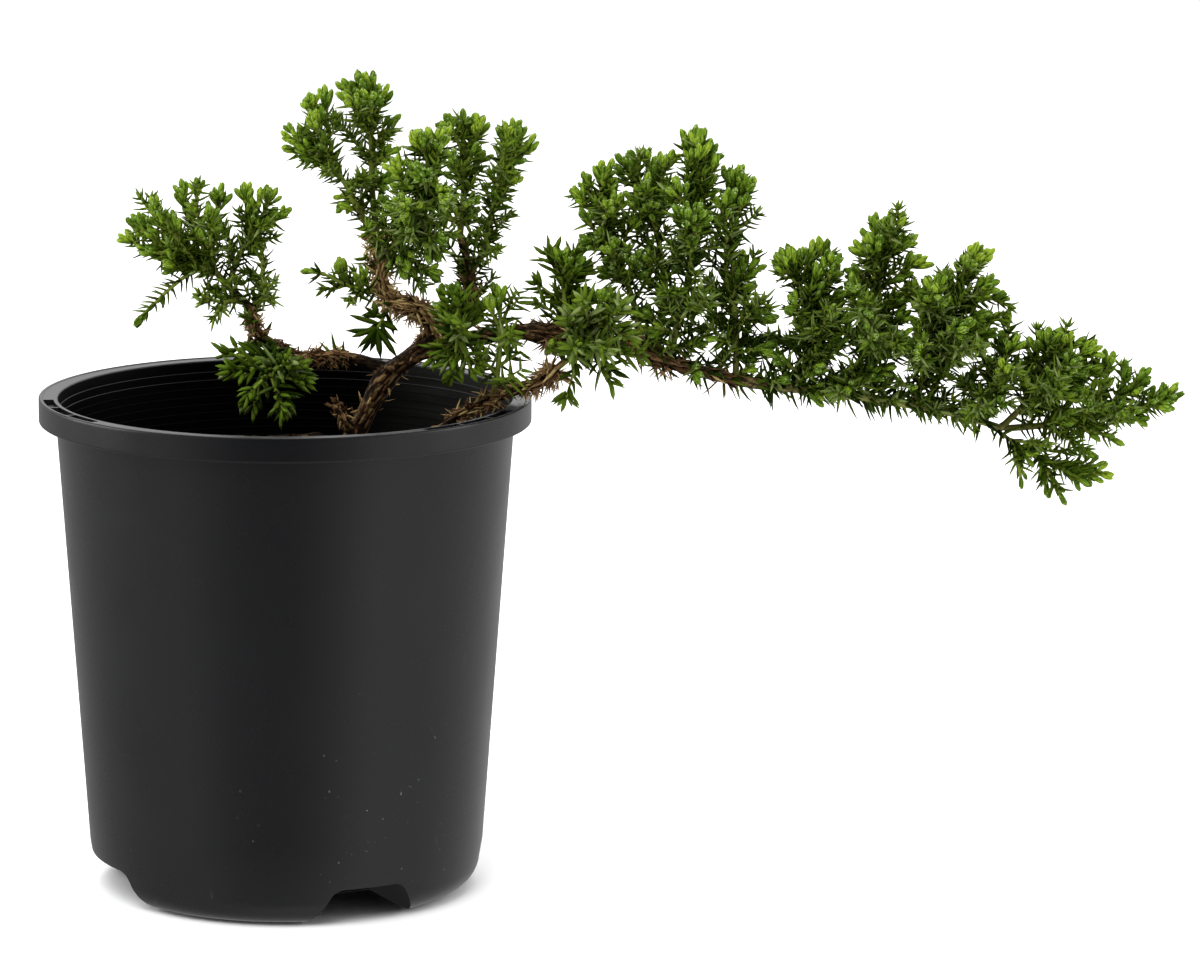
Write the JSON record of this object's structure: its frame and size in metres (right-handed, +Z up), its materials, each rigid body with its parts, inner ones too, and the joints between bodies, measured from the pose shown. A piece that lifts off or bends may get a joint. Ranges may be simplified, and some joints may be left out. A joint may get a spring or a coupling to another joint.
{
  "type": "potted flaky juniper",
  "caption": "Young creeping juniper in a round nursery pot, with upright needle sprays on low boughs and one long bough that reaches out past the rim.",
  "frame": {"origin": "middle of the pot's flat underside, on the surface that the pot stands on", "axes": "+Z up, +X along the long bough, -Y towards the side from which the plant is usually seen"},
  "size_m": [0.3835, 0.165, 0.276],
  "materials": {
    "pot": "satin black moulded plastic with fine scuffs",
    "soil": "rough dark bark potting mix",
    "bark": "flaky matt brown bark",
    "young_bark": "smooth green to brown young bark",
    "needles": "leathery green needles with a pale bloom",
    "buds": "fresh yellow-green young needles",
    "dead_needles": "dry tan dead needles"
  },
  "bodies": {
    "root": {"pot": "pot", "soil": "soil", "trunk": "bark", "bough_left": "bark", "bough_top_left": "bark", "bough_centre": "bark", "bough_long": "bark", "bough_outer": "young_bark", "bough_low": "bark", "foliage_left_outer": "needles", "foliage_left_inner": "needles", "foliage_left_shoot": "needles", "foliage_left_tuft": "needles", "foliage_pot_clump": "needles", "foliage_sprig": "needles", "foliage_left_spray": "needles", "foliage_top": "needles", "foliage_top_left": "needles", "foliage_centre_front": "needles", "foliage_centre_top": "needles", "foliage_centre_right": "needles", "foliage_centre_low": "needles", "foliage_upright": "needles", "foliage_mid_left": "needles", "foliage_mid_front": "needles", "foliage_middle_left": "needles", "foliage_middle_top": "needles", "foliage_middle_right": "needles", "foliage_right_middle": "needles", "foliage_right_1": "needles", "foliage_right_2": "needles", "foliage_right_3": "needles", "foliage_right_4": "needles", "foliage_right_5": "needles", "foliage_tip": "needles", "foliage_tip_low": "needles"}
  },
  "joints": []
}
